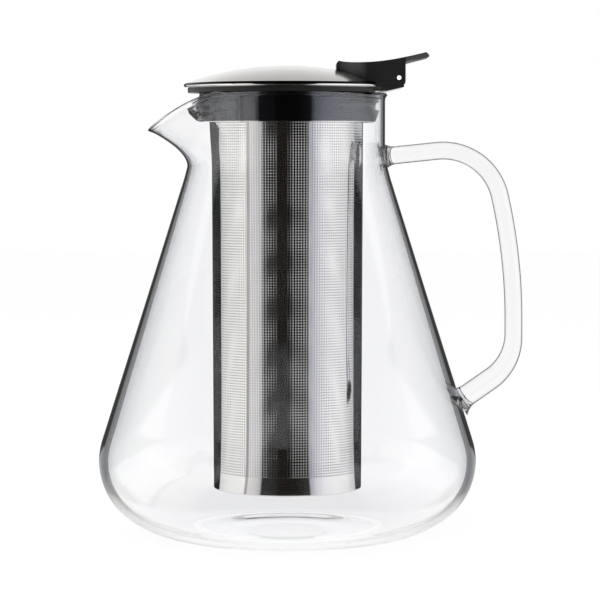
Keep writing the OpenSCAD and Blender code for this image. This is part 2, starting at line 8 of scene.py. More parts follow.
import bmesh
import bpy
import numpy as np
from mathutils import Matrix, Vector


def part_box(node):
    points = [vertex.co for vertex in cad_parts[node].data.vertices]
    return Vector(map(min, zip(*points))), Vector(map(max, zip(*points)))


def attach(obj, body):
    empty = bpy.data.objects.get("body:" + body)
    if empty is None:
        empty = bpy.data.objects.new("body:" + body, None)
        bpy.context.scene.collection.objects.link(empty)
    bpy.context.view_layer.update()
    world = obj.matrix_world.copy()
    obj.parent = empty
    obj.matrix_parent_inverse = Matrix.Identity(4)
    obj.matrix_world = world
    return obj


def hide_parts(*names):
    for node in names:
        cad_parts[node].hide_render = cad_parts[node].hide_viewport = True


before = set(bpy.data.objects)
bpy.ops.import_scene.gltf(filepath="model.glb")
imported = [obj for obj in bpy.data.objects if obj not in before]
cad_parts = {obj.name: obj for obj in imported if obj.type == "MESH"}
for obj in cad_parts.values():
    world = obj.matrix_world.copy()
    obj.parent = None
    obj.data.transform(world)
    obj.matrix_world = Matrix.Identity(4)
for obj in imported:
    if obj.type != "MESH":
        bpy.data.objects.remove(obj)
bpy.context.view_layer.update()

MM = 0.001
TAU = 2 * math.pi


def span(node):
    """Lowest and highest corner of a CAD node, in millimetres."""
    low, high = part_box(node)
    return np.array(low) / MM, np.array(high) / MM


# Levels and radii that are read from the frame
RIM_Z = span("glass_body")[1][2]
COLLAR_Z = span("collar")[0][2]
CUP_Z, CUP_TOP_Z = span("basket_cup")[0][2], span("basket_cup")[1][2]
WALL_TOP_Z = span("basket_wall")[1][2]
BASKET_TOP_R = span("basket_wall")[1][1]
BASKET_LOW_R = span("basket_cup")[1][1]
LID_R = span("lid_dome")[1][1]
DOME_TOP_Z = span("lid_dome")[1][2]
BEAD_LOW_Z = span("lid_dome")[0][2]
PIN_Z = (span("hinge_pin")[0][2] + span("hinge_pin")[1][2]) / 2
PIN_X = (span("hinge_pin")[0][0] + span("hinge_pin")[1][0]) / 2

# Jug
NECK_R = 42.5
GLASS_T = 2.4
NECK_H = 21.78
FOOT_W = 4.0
TOE_R = 48.0
TOE_ANGLE = math.radians(34.5)
CORNER_R = 30.0
CONE_ANGLE = math.radians(17.5)
BLEND_R = 49.0
PUNT_H = 3.0
RIM_FLARE = 1.0
SPOUT_REACH = 17.1
SPOUT_DROP = 15.3
SPOUT_HALF_ANGLE = math.radians(54)
SPOUT_H = 32.0
DIP_POWER = 1.35
SWELL_POWER = 1.6

# Joins steeper than this are drawn as sharp corners, and a point nearer the axis than this is on it
SHARP_ANGLE = math.radians(40)
ON_AXIS = 1e-6


def arc(centre, radius, start, end, steps):
    """Points (r, z) on an arc about a centre, from one angle to another, in degrees."""
    a = np.radians(np.linspace(start, end, steps + 1))
    return np.stack([centre[0] + radius * np.cos(a), centre[1] + radius * np.sin(a)], 1)


def line(a, b, steps):
    """Points on a straight line, both ends included."""
    return np.linspace(a, b, steps + 1)


def mesh_object(name, points, faces):
    """A mesh object from points in millimetres and arrays of faces, smooth but for its sharp corners."""
    mesh = bpy.data.meshes.new(name)
    points = np.asarray(points, float) * MM
    sizes = [np.full(len(f), f.shape[1]) for f in faces]
    loops = np.concatenate([f.ravel() for f in faces])
    totals = np.concatenate(sizes)
    starts = np.concatenate([[0], np.cumsum(totals)[:-1]])
    mesh.vertices.add(len(points))
    mesh.vertices.foreach_set("co", points.ravel())
    mesh.loops.add(len(loops))
    mesh.loops.foreach_set("vertex_index", loops)
    mesh.polygons.add(len(totals))
    mesh.polygons.foreach_set("loop_start", starts)
    mesh.polygons.foreach_set("loop_total", totals)
    mesh.update(calc_edges=True)
    mesh.validate()
    mesh.set_sharp_from_angle(angle=SHARP_ANGLE)
    thing = bpy.data.objects.new(name, mesh)
    bpy.context.scene.collection.objects.link(thing)
    return thing


def quads(rows, columns, wrap_rows=False, wrap_columns=True, offset=0):
    """Index array of the quads of a grid of rows by columns."""
    r = np.arange(rows if wrap_rows else rows - 1)[:, None]
    c = np.arange(columns if wrap_columns else columns - 1)[None, :]
    r2, c2 = (r + 1) % rows, (c + 1) % columns
    grid = np.stack([r * columns + c, r * columns + c2, r2 * columns + c2, r2 * columns + c], -1)
    return grid.reshape(-1, 4) + offset


def volume_sign(points, faces):
    """Sign of the enclosed volume: the sum of a x b . c over the faces, split as fans."""
    total = 0.0
    for f in faces:
        for i in range(1, f.shape[1] - 1):
            a, b, c = points[f[:, 0]], points[f[:, i]], points[f[:, i + 1]]
            total += np.einsum("ij,ij->", np.cross(a, b), c)
    return math.copysign(1, total)


def closed_object(name, points, faces):
    """A closed mesh whose faces are turned to point outwards."""
    points = np.asarray(points, float)
    if volume_sign(points, faces) < 0:
        faces = [f[:, ::-1] for f in faces]
    return mesh_object(name, points, faces)


def lathe(name, outline, bearings=192, wrap=False):
    """Turns an outline of (r, z) about the axis: point = (-r cos b, r sin b, z) for each bearing b.

    An outline that starts or ends on the axis is closed there with one point; wrap joins its ends.
    """
    outline = np.asarray(outline, float)
    b = np.linspace(0, TAU, bearings, endpoint=False)
    start, end = outline[0, 0] < ON_AXIS, outline[-1, 0] < ON_AXIS
    body = outline[int(start): len(outline) - int(end)]
    rings = np.stack([-body[:, :1] * np.cos(b), body[:, :1] * np.sin(b),
                      np.repeat(body[:, 1:], bearings, 1)], -1)
    return lathe_rings(name, rings, outline[0, 1] if start else None,
                       outline[-1, 1] if end else None, wrap)


def lathe_rings(name, rings, start_z=None, end_z=None, wrap=False):
    """A closed mesh over rings of points, with a point on the axis at each end that has a level."""
    rows, columns = rings.shape[:2]
    points = rings.reshape(-1, 3)
    faces = [quads(rows, columns, wrap)]
    c = np.arange(columns)
    if start_z is not None:
        points = np.vstack([points, [0, 0, start_z]])
        faces.append(np.stack([np.full(columns, len(points) - 1), (c + 1) % columns, c], 1))
    if end_z is not None:
        points = np.vstack([points, [0, 0, end_z]])
        last = (rows - 1) * columns
        faces.append(np.stack([np.full(columns, len(points) - 1), last + c, last + (c + 1) % columns], 1))
    return closed_object(name, points, faces)


# Glass jug

BLEND_Z = RIM_Z - NECK_H
CONE_TOP_Z = BLEND_Z - BLEND_R * math.tan(CONE_ANGLE / 2)
SPLIT_Z = RIM_Z - SPOUT_H


def cone_r(z, d=0.0):
    """Radius of the cone at a level, set in by d."""
    return NECK_R + (CONE_TOP_Z - z) * math.tan(CONE_ANGLE) - d / math.cos(CONE_ANGLE)


CORNER_Z = TOE_R - (TOE_R - CORNER_R) * math.cos(TOE_ANGLE)
CORNER_C = (cone_r(CORNER_Z, CORNER_R), CORNER_Z)
FOOT_R = CORNER_C[0] - (TOE_R - CORNER_R) * math.sin(TOE_ANGLE)


def neck_line_r(z, d=0.0):
    """Radius of the outline above the corner, set in by d: cone, then hollow arc, then straight neck."""
    z = np.asarray(z, float)
    r, drop = BLEND_R + d, BLEND_Z - z
    hollow = NECK_R + BLEND_R - np.sqrt(np.maximum(r * r - drop * drop, 0))
    return np.where(drop <= 0, NECK_R - d, np.where(drop < r * math.sin(CONE_ANGLE), hollow, cone_r(z, d)))


def body_line(d):
    """Outline from the foot to the split level, set in by d: toe arc, corner arc, cone, hollow arc."""
    toe = arc((FOOT_R, TOE_R), TOE_R - d, -90, -90 + math.degrees(TOE_ANGLE), 14)
    corner = arc(CORNER_C, CORNER_R - d, -90 + math.degrees(TOE_ANGLE), math.degrees(CONE_ANGLE), 30)
    z = np.linspace(corner[-1, 1], SPLIT_Z, 26)[1:]
    return np.concatenate([toe, corner[1:], np.stack([neck_line_r(z, d), z], 1)])


def punt_line(d, steps=30):
    """Push-up under the base, from the axis out to the standing ring: half a cosine wave."""
    s = np.linspace(1, 0, steps + 1)
    return np.stack([(FOOT_R - FOOT_W) * (1 - s), d + PUNT_H * (1 - np.cos(math.pi * s)) / 2], 1)


def spout_pull(b):
    """Share of the spout's pull at a bearing from -X: half a cosine wave over its half angle."""
    a = (b + math.pi) % TAU - math.pi
    inside = np.abs(a) < SPOUT_HALF_ANGLE
    return np.where(inside, (1 + np.cos(math.pi * a / SPOUT_HALF_ANGLE)) / 2, 0)


def mouth_rings(b):
    """Rings of the neck and spout, from the split level up the outside, over the lip and down inside."""
    pull = spout_pull(b)
    rim = RIM_Z - SPOUT_DROP * pull ** DIP_POWER
    flare_h = 2 * RIM_FLARE

    def ring(share, d, rise):
        z = SPLIT_Z + share * (rim - SPLIT_Z)
        flare = np.maximum(0, (z - rim + flare_h) / flare_h)
        r = neck_line_r(z) + SPOUT_REACH * pull * share ** SWELL_POWER + RIM_FLARE * flare ** 2 - d
        return np.stack([-r * np.cos(b), r * np.sin(b), z + rise], -1)

    half = GLASS_T / 2
    shares = np.linspace(0, 1, 41)[1:]
    outside = [ring(s, 0, -half * s * s) for s in shares]
    lip = [ring(1, half * (1 - math.cos(a)), half * (math.sin(a) - 1))
           for a in np.linspace(0, math.pi, 13)[1:-1]]
    inside = [ring(s, GLASS_T, -half * s * s) for s in shares[::-1]]
    return outside + lip + inside


def turned(outline, b):
    """Rings of points for an outline of (r, z) turned to the bearings b."""
    r, z = outline[:, :1], outline[:, 1:]
    return np.stack([-r * np.cos(b), r * np.sin(b), np.repeat(z, len(b), 1)], -1)


def make_jug():
    """The jug as one closed skin: push-up, foot, body, spouted neck, lip, and back down the inside."""
    b = np.linspace(0, TAU, 288, endpoint=False)
    under = punt_line(0)[1:]
    floor = punt_line(GLASS_T)[::-1][:-1]
    outer, inner = body_line(0), body_line(GLASS_T)[::-1]
    rings = np.concatenate([turned(under, b), turned(outer, b), np.array(mouth_rings(b)),
                            turned(inner, b), turned(floor, b)])
    return lathe_rings("jug_glass", rings, PUNT_H, PUNT_H + GLASS_T)


# Handle

ROD_R = 3.9
LOW_ROD_R = 4.8
HANDLE_DROP = 27.5
TOP_RUN = 25.0
TOP_ANGLE = 6.0
TOP_BEND_R = 25.4
GRIP_ANGLE = -77.0
GRIP_RUN = 6.5
LOW_BEND_R = 23.0
LOW_BEND_Z = 68.6
LOW_ANGLE = -145.0
WELD_SPREAD = 1.6
WELD_RUN = 4.5


def walk(p, angle, run):
    """The point a run away from p at an angle in the X-Z plane."""
    a = math.radians(angle)
    return (p[0] + run * math.cos(a), p[1] + run * math.sin(a))


def bend(p, start, end, radius):
    """The point reached from p by an arc that turns from one heading to another."""
    a, b = math.radians(start), math.radians(end)
    return (p[0] + radius * (math.sin(a) - math.sin(b)), p[1] - radius * (math.cos(a) - math.cos(b)))


def handle_stations():
    """Stations (x, z, heading, radius) of the rod: weld, run, bend, slow grip curve, run, bend, run, weld.

    The rod thickens evenly along its lower bend.
    """
    def weld_r(radius, run):
        return radius + WELD_SPREAD * max(0.0, 1 - run / WELD_RUN) ** 2

    p0 = (NECK_R - GLASS_T / 2, RIM_Z - HANDLE_DROP)
    p1 = walk(p0, TOP_ANGLE, TOP_RUN - GLASS_T / 2)
    p2 = bend(p1, TOP_ANGLE, GRIP_ANGLE, TOP_BEND_R)
    grip_r = ((p2[1] - GRIP_RUN - LOW_BEND_Z + LOW_BEND_R * math.cos(math.radians(LOW_ANGLE)))
              / math.cos(math.radians(GRIP_ANGLE)))
    p3 = bend(p2, GRIP_ANGLE, -90, grip_r)
    p4 = walk(p3, -90, GRIP_RUN)
    p5 = bend(p4, -90, LOW_ANGLE, LOW_BEND_R)
    low = math.radians(LOW_ANGLE)
    low_run = (cone_r(p5[1]) - p5[0]) / (math.cos(low) + math.sin(low) * math.tan(CONE_ANGLE))

    stations = []
    for run in np.linspace(0, WELD_RUN + GLASS_T / 2, 12):
        q = walk(p0, TOP_ANGLE, run)
        stations.append((*q, TOP_ANGLE, weld_r(ROD_R, run - GLASS_T / 2)))
    stations.append((*p1, TOP_ANGLE, ROD_R))
    bends = ((p1, TOP_ANGLE, GRIP_ANGLE, TOP_BEND_R, 28, ROD_R),
             (p2, GRIP_ANGLE, -90, grip_r, 20, ROD_R),
             (p4, -90, LOW_ANGLE, LOW_BEND_R, 24, LOW_ROD_R))
    for start, first, last, radius, steps, rod_r in bends:
        for share in np.linspace(0, 1, steps + 1)[1:]:
            a = first + (last - first) * share
            stations.append((*bend(start, first, a, radius), a, ROD_R + (rod_r - ROD_R) * share))
        if start is p2:
            stations.append((*p4, -90, ROD_R))
    for run in np.linspace(WELD_RUN + GLASS_T / 2, 0, 12):
        q = walk(p5, LOW_ANGLE, low_run + GLASS_T / 2 - run)
        stations.append((*q, LOW_ANGLE, weld_r(LOW_ROD_R, run - GLASS_T / 2)))
    return np.array(stations)


def make_handle():
    """The rod: a circle carried along the stations, closed by a point at each end."""
    s = handle_stations()
    f = np.linspace(0, TAU, 40, endpoint=False)
    heading = np.radians(s[:, 2:3])
    rings = np.stack([s[:, :1] - s[:, 3:] * np.cos(f) * np.sin(heading),
                      s[:, 3:] * np.sin(f) + 0 * heading,
                      s[:, 1:2] + s[:, 3:] * np.cos(f) * np.cos(heading)], -1)
    points = np.vstack([rings.reshape(-1, 3), [s[0, 0], 0, s[0, 1]], [s[-1, 0], 0, s[-1, 1]]])
    rows, columns = rings.shape[:2]
    c = np.arange(columns)
    last = (rows - 1) * columns
    faces = [quads(rows, columns),
             np.stack([np.full(columns, len(points) - 2), (c + 1) % columns, c], 1),
             np.stack([np.full(columns, len(points) - 1), last + c, last + (c + 1) % columns], 1)]
    return closed_object("handle_glass", points, faces)


# Basket

SHEET_T = 0.2
CUP_T = 0.5
HOLE_R = 0.32
HOLE_ROWS = 135
COLUMNS = 177
PLAIN_COLUMNS = 3
STRIP_BEARING = math.radians(-90.6)
ROW_PITCH = 1.15
# Level of the lowest row of holes
LAST_ROW_Z = 29.4
BANDS = 5
HOLE_SIDES = 6


def basket_r(z):
    """Radius of the tapered basket at a level."""
    return BASKET_LOW_R + (BASKET_TOP_R - BASKET_LOW_R) * (z - CUP_Z) / (COLLAR_Z - CUP_Z)


def perforated_band(name, first_row, rows, low_z, high_z):
    """A ring of sheet with a grid of holes: each cell is a square around a six sided hole.

    A cell has four corner points shared with its neighbours and six hole points, on both skins.
    The skins are joined by the hole walls and by a strip at the band's top and bottom edges.
    The last few columns of cells have no hole: they are the strip where the sheet is welded.
    """
    levels = LAST_ROW_Z + ROW_PITCH * (first_row + np.arange(rows + 1) - 0.5)
    levels[0], levels[-1] = low_z, high_z
    holed = COLUMNS - PLAIN_COLUMNS
    step = TAU / COLUMNS
    corner_b = STRIP_BEARING + step * np.arange(COLUMNS)
    hole_z = LAST_ROW_Z + ROW_PITCH * (first_row + np.arange(rows))
    hole_b = corner_b[:holed] + step / 2
    side = TAU * np.arange(HOLE_SIDES) / HOLE_SIDES

    def on_skin(z, b, inset):
        r = basket_r(z) - inset
        return np.stack([r * np.cos(b), r * np.sin(b), z], -1)

    points, faces = [], []
    corners = (rows + 1) * COLUMNS
    skin = corners + rows * holed * HOLE_SIDES
    for inset in (0, SHEET_T):
        z, b = np.meshgrid(levels, corner_b, indexing="ij")
        points.append(on_skin(z, b, inset).reshape(-1, 3))
        z = hole_z[:, None, None] + HOLE_R * np.sin(side)
        b = hole_b[None, :, None] + HOLE_R * np.cos(side) / BASKET_LOW_R
        z, b = np.broadcast_arrays(z, b)
        points.append(on_skin(z, b, inset).reshape(-1, 3))
    row = np.arange(rows)[:, None]
    column = np.arange(COLUMNS)[None, :]
    right = (column + 1) % COLUMNS
    square = [row * COLUMNS + column, row * COLUMNS + right,
              (row + 1) * COLUMNS + right, (row + 1) * COLUMNS + column]
    plain = np.stack([s[:, holed:] for s in square], -1).reshape(-1, 4)
    low_left, low_right, high_right, high_left = [s[:, :holed] for s in square]
    hole = corners + (row * holed + column[:, :holed]) * HOLE_SIDES
    rim = [hole + i for i in range(HOLE_SIDES)]
    # Hole points 0 right, 1 and 2 above, 3 left, 4 and 5 below
    cell = [(low_right, high_right, rim[0]), (high_right, rim[1], rim[0]),
            (high_right, high_left, rim[1]), (high_left, rim[2], rim[1]),
            (high_left, rim[3], rim[2]), (high_left, low_left, rim[3]),
            (low_left, rim[4], rim[3]), (low_left, low_right, rim[4]),
            (low_right, rim[5], rim[4]), (low_right, rim[0], rim[5])]
    outer = np.concatenate([np.stack(t, -1).reshape(-1, 3) for t in cell])
    faces += [outer, outer[:, ::-1] + skin, plain, plain[:, ::-1] + skin]
    after = rim[1:] + rim[:1]
    walls = np.concatenate([np.stack([a, b, b + skin, a + skin], -1).reshape(-1, 4)
                            for a, b in zip(rim, after)])
    c = np.arange(COLUMNS)
    n = (c + 1) % COLUMNS
    top = rows * COLUMNS
    edges = np.concatenate([np.stack([n, c, c + skin, n + skin], 1),
                            np.stack([c + top, n + top, n + top + skin, c + top + skin], 1)])
    faces += [walls, edges]
    return closed_object(name, np.concatenate(points), faces)


def make_basket_wall():
    """The perforated sheet in bands of rows that meet edge to edge."""
    rows = HOLE_ROWS // BANDS
    pieces = []
    for i in range(BANDS):
        low = CUP_TOP_Z if i == 0 else LAST_ROW_Z + ROW_PITCH * (i * rows - 0.5)
        high = WALL_TOP_Z if i == BANDS - 1 else LAST_ROW_Z + ROW_PITCH * ((i + 1) * rows - 0.5)
        pieces.append(perforated_band(f"basket_sheet_{i + 1}", i * rows, rows, low, high))
    return pieces


CUP_EDGE_R = 0.8
# Gap between the cup's lip and the sheet above it
CUP_GAP = 0.02


def make_cup():
    """The pressed cup under the sheet: floor, rounded edge and plain band, turned from one outline."""
    r, z = BASKET_LOW_R, CUP_Z
    edge = (r - CUP_EDGE_R, z + CUP_EDGE_R)
    lip_z = CUP_TOP_Z - CUP_GAP
    outline = np.concatenate([
        line((0, z), (r - CUP_EDGE_R, z), 6)[:-1], arc(edge, CUP_EDGE_R, -90, 0, 12),
        [(r, lip_z), (r - CUP_T, lip_z)], arc(edge, CUP_EDGE_R - CUP_T, 0, -90, 12),
        line((r - CUP_EDGE_R, z + CUP_T), (0, z + CUP_T), 6)[1:]])
    return lathe("basket_cup_pressed", outline, 256)


# Lid

BEAD_R = 1.0
DOME_RISE = DOME_TOP_Z - BEAD_LOW_Z - 2 * BEAD_R
DOME_T = 0.8


def make_dome():
    """The lid as one sheet: a spherical cap whose edge rolls down and under into a bead."""
    edge_r = LID_R - BEAD_R
    radius = (edge_r ** 2 + DOME_RISE ** 2) / (2 * DOME_RISE)
    centre = DOME_TOP_Z - radius
    # The cap meets the bead where both have the same slope
    meet = math.asin((edge_r - BEAD_R * math.sin(math.asin(edge_r / radius))) / radius)
    bead = (edge_r, BEAD_LOW_Z + BEAD_R)
    tilt = math.degrees(meet)
    cap = [(radius * math.sin(a), centre + radius * math.cos(a)) for a in np.linspace(0, meet, 60)]
    roll = arc(bead, BEAD_R, 90 - tilt, -180, 30)
    inner = radius - DOME_T
    back_a = np.linspace(math.asin((edge_r - BEAD_R) / inner), 0, 40)
    back = [(inner * math.sin(a), centre + inner * math.cos(a)) for a in back_a]
    return lathe("lid_shell", np.concatenate([cap, roll, back]), 288)


# Seal

# Outer radius of the collar's band, which the sleeve sits on
COLLAR_R = 37.35
SLEEVE_T = 0.9
LIP_T = 0.7
UPPER_LIP_Z = RIM_Z - 3.8
LOWER_LIP_Z = UPPER_LIP_Z - 4.2
# Radii of the lips where the spout leaves them free
UPPER_FREE_R = 41.8
LOWER_FREE_R = 42.9
# Power of the spout's pull, under 1 so that the lips spring out close to the spout's ends
FREE_POWER = 0.35
# How far a lip's tip stands out past its edges, and its root past the sleeve
TIP = 0.3
ROOT = 0.2
# Gaps to the collar, the glass, the collar's lower edge and the rim
SLEEVE_FIT = 0.02
LIP_FIT = 0.1
LOW_FIT = 0.3
TOP_FIT = 0.05


def make_seal():
    """Silicone sleeve with two lips, pressed in by the glass and free across the spout."""
    b = np.linspace(0, TAU, 256, endpoint=False)
    free = spout_pull(b) ** FREE_POWER
    pressed = NECK_R - GLASS_T - LIP_FIT
    low_z, top_z = COLLAR_Z + LOW_FIT, RIM_Z - TOP_FIT
    fixed = np.ones_like(b)
    inner, outer = (COLLAR_R + SLEEVE_FIT) * fixed, (COLLAR_R + SLEEVE_T) * fixed

    def lip(free_r, z):
        r = pressed + (free_r - pressed) * free
        return [(outer, z - 2 * LIP_T), (outer + ROOT, z - LIP_T), (r - TIP, z - LIP_T / 2), (r, z),
                (r - TIP, z + LIP_T / 2), (outer + ROOT, z + LIP_T), (outer, z + 2 * LIP_T)]

    # The lower lip has no root below, and the upper lip runs straight up to the rim
    outline = ([(inner, low_z), (outer, low_z)] + lip(LOWER_FREE_R, LOWER_LIP_Z)[2:]
               + lip(UPPER_FREE_R, UPPER_LIP_Z)[:-1] + [(outer, top_z), (inner, top_z)])
    rings = np.array([np.stack([-r * np.cos(b), r * np.sin(b), z * fixed], -1) for r, z in outline])
    return lathe_rings("seal_sleeve", rings, wrap=True)


# Lever

LEVER_EDGE = 0.45
# Points closer than this, in metres, are merged, and flatter joins than this angle are dissolved
MERGE_M = 1e-6
FLAT_ANGLE = math.radians(1)
LEVER_EDGE_ANGLE = math.radians(35)


def make_lever():
    """The lever with its edges rounded: the moulded form of the frame, welded and bevelled."""
    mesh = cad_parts["lid_lever"].data.copy()
    mesh.name = "lever_moulding"
    thing = bpy.data.objects.new("lever_moulding", mesh)
    bpy.context.scene.collection.objects.link(thing)
    work = bmesh.new()
    work.from_mesh(mesh)
    bmesh.ops.remove_doubles(work, verts=work.verts, dist=MERGE_M)
    bmesh.ops.dissolve_limit(work, angle_limit=FLAT_ANGLE, verts=work.verts, edges=work.edges)
    work.to_mesh(mesh)
    work.free()
    mesh.materials.clear()
    mesh.shade_smooth()
    bevel = thing.modifiers.new("edges", "BEVEL")
    bevel.width = LEVER_EDGE * MM
    bevel.segments = 3
    bevel.limit_method = "ANGLE"
    bevel.angle_limit = LEVER_EDGE_ANGLE
    bevel.harden_normals = True
    return thing


# Shader sums


class Sock:
    """An output socket that can be used in sums with numbers and other sockets."""

    def __init__(self, board, out):
        self.board, self.out = board, out

    def sum(self, operation, *values):
        """The output of a Math node that works on the values."""
        return self.board.node("ShaderNodeMath", {"operation": operation}, values)

    def __add__(self, other):
        return self.sum("ADD", self, other)

    __radd__ = __add__

    def __sub__(self, other):
        return self.sum("SUBTRACT", self, other)

    def __rsub__(self, other):
        return self.sum("SUBTRACT", other, self)

    def __mul__(self, other):
        return self.sum("MULTIPLY", self, other)

    __rmul__ = __mul__

    def __truediv__(self, other):
        return self.sum("DIVIDE", self, other)

    def __gt__(self, other):
        return self.sum("GREATER_THAN", self, other)

    def __lt__(self, other):
        return self.sum("LESS_THAN", self, other)

    def pick(self, name):
        """Another output of the same node, by its name or number."""
        return Sock(self.board, self.out.node.outputs[name])


class Board:
    """A node tree that is filled by calls."""

    def __init__(self, owner):
        owner.use_nodes = True
        self.tree = owner.node_tree
        self.tree.nodes.clear()

    def node(self, kind, settings=None, inputs=()):
        """Adds a node, sets it up, then fills its sockets, and gives its first output."""
        made = self.tree.nodes.new(kind)
        for key, value in (settings or {}).items():
            if key == "stops":
                ramp = made.color_ramp.elements
                while len(ramp) > 1:
                    ramp.remove(ramp[-1])
                for i, (position, colour) in enumerate(value):
                    stop = ramp[0] if i == 0 else ramp.new(position)
                    stop.position = position
                    stop.color = colour if isinstance(colour, tuple) else (colour, colour, colour, 1)
            else:
                setattr(made, key, value)
        pairs = inputs.items() if isinstance(inputs, dict) else enumerate(inputs)
        for key, value in pairs:
            if isinstance(value, Sock):
                self.tree.links.new(value.out, made.inputs[key])
            elif value is not None:
                made.inputs[key].default_value = value
        return Sock(self, made.outputs[0]) if made.outputs else None


def material(name, fill):
    """A material whose nodes are made by fill(board) and end in a shader."""
    made = bpy.data.materials.new(name)
    board = Board(made)
    board.node("ShaderNodeOutputMaterial", None, {"Surface": fill(board)})
    return made


def place(board):
    """Object coordinates, in metres."""
    return board.node("ShaderNodeTexCoord").pick("Object")


def noise(board, where, scale, detail=3.0):
    """Noise about one half, with about scale waves to the metre."""
    return board.node("ShaderNodeTexNoise", None, {"Vector": where, "Scale": scale, "Detail": detail})


def stretched(board, where, scale):
    """Coordinates scaled by three factors, so that a noise comes out in streaks."""
    return board.node("ShaderNodeMapping", None, {"Vector": where, "Scale": scale})


def tint(board, factor, low, high):
    """A colour between two colours."""
    return blended(board, factor, (*low, 1), (*high, 1))


def blended(board, factor, low, high, kind="MIX"):
    """Two colours or colour sockets put together by a factor."""
    return board.node("ShaderNodeMix", {"data_type": "RGBA", "blend_type": kind},
                      {0: factor, 6: low, 7: high}).pick(2)


def bump(board, height, strength, distance):
    """A normal tilted by a height from 0 to 1, which stands for a distance in metres."""
    return board.node("ShaderNodeBump", None, {
        "Strength": strength, "Distance": distance, "Height": height})


def split(board, vector):
    """The X, Y and Z of a vector."""
    parts = board.node("ShaderNodeSeparateXYZ", None, [vector])
    return parts.pick("X"), parts.pick("Y"), parts.pick("Z")


def from_axis(board, where, normal):
    """Radius times the share of the named normal that points away from the jug's axis: x nx + y ny."""
    x, y, _ = split(board, where)
    nx, ny, _ = split(board, board.node("ShaderNodeNewGeometry").pick(normal))
    return x * nx + y * ny


def outward(board, where):
    """1 where the surface faces away from the jug's axis, else 0, seen from either side."""
    back = board.node("ShaderNodeNewGeometry").pick("Backfacing")
    return from_axis(board, where, "True Normal") * (1.0 - back * 2.0) > 0.0


def clear_glass(stops, low_z, high_z, skin=False):
    """Clear glass with the faint waves of blown glass. Lamps shine through it.

    Seen edge on it is painted darker, as painted shade, down the stops of a ramp, and this fades out
    from the high level to the low level. With skin set, only what faces away from the jug's axis is darker.
    """
    def fill(board):
        where = place(board)
        waves = noise(board, where, 22.0, 1.0)
        body = tint(board, waves, (0.975, 0.978, 0.988), (0.99, 0.99, 0.995))
        edge_on = board.node("ShaderNodeLayerWeight", None, {"Blend": 0.5}).pick("Facing")
        # Painted shade: the glass is painted darker seen edge on
        dark = board.node("ShaderNodeValToRGB", {"stops": stops}, [edge_on])
        share = board.node("ShaderNodeMapRange", None, {
            "Value": split(board, where)[2], "From Min": low_z * MM, "From Max": high_z * MM})
        if skin:
            share = share * outward(board, where)
        glass = board.node("ShaderNodeBsdfPrincipled", None, {
            "Base Color": blended(board, share, body, dark, "MULTIPLY"), "Roughness": 0.0, "IOR": 1.46,
            "Transmission Weight": 1.0, "Specular IOR Level": 0.3,
            "Normal": bump(board, waves, 0.02, 0.002)})
        clear = board.node("ShaderNodeBsdfTransparent", None, {"Color": (0.96, 0.97, 0.965, 1)})
        path = board.node("ShaderNodeLightPath").pick("Is Shadow Ray")
        return board.node("ShaderNodeMixShader", None, {0: path, 1: glass, 2: clear})
    return fill


def steel(board, low, high, rough, streak_scale, streak=0.03, shade=0.0):
    """Stainless steel with fine streaks in its roughness and colour, painted near black by the share shade
    as painted shade.
    """
    where = place(board)
    streaks = noise(board, stretched(board, where, streak_scale), 60.0, 4.0)
    cloud = noise(board, where, 40.0)
    colour = blended(board, shade, tint(board, streaks, low, high), (0.04, 0.04, 0.04, 1), "MULTIPLY")
    return board.node("ShaderNodeBsdfPrincipled", None, {
        "Base Color": colour, "Metallic": 1.0,
        "Roughness": rough + streaks * 0.06 + cloud * 0.04,
        "Normal": bump(board, streaks, streak, 0.0004)})


# Painted shade and painted reflection inside the basket, by bearing from the back, as shares of a turn with
# the back at 0.5
PAINTED_INSIDE_STOPS = [(0.0, 0.02), (0.40, 0.02), (0.41, 0.85), (0.45, 0.85), (0.456, 0.05), (0.504, 0.05),
                (0.513, 0.85), (0.547, 0.85), (0.555, 0.02), (1.0, 0.02)]
# The inner skin is where x nx + y ny is below this, in metres
INSIDE_LIMIT_M = -0.005
# Strength of the light that the inner skin's painted reflection gives off, though it is no lamp
PAINTED_INSIDE_GLOW = 0.35


def sheet_steel(board):
    """The basket's sheet: bright steel with faint upright streaks outside, and painted shade and reflection
    inside.

    The inner skin is painted dark, as painted shade, but for two pale zones at the back, a painted
    reflection that gives off some light. They stand in for what the real inside mirrors through the holes.
    """
    where = place(board)
    streaks = noise(board, stretched(board, where, (60.0, 60.0, 2.0)), 12.0, 3.0)
    inner = from_axis(board, where, "Normal") < INSIDE_LIMIT_M
    x, y, _ = split(board, where)
    bearing = board.node("ShaderNodeMath", {"operation": "ARCTAN2"}, [x, y])
    # Painted shade and painted reflection of the inner skin, by bearing; the pale zones glow
    painted_shade_and_reflection = board.node("ShaderNodeValToRGB", {"stops": PAINTED_INSIDE_STOPS}, [bearing / TAU + 0.5])
    outer = tint(board, streaks, (0.80, 0.79, 0.78), (0.86, 0.86, 0.86))
    return board.node("ShaderNodeBsdfPrincipled", None, {
        "Base Color": blended(board, inner, outer, painted_shade_and_reflection), "Metallic": 1.0 - inner,
        "Roughness": 0.03 + streaks * 0.03 + inner * 0.6,
        "Emission Color": blended(board, inner, (0.0, 0.0, 0.0, 1), painted_shade_and_reflection),
        "Emission Strength": PAINTED_INSIDE_GLOW})


# Where the lid's polish starts, and the painted shade line on its rolled edge: radius and level
POLISH_R = LID_R - 1.8 * BEAD_R
SHADE_LINE_R = LID_R - BEAD_R
SHADE_LINE_Z = BEAD_LOW_Z + 0.9 * BEAD_R


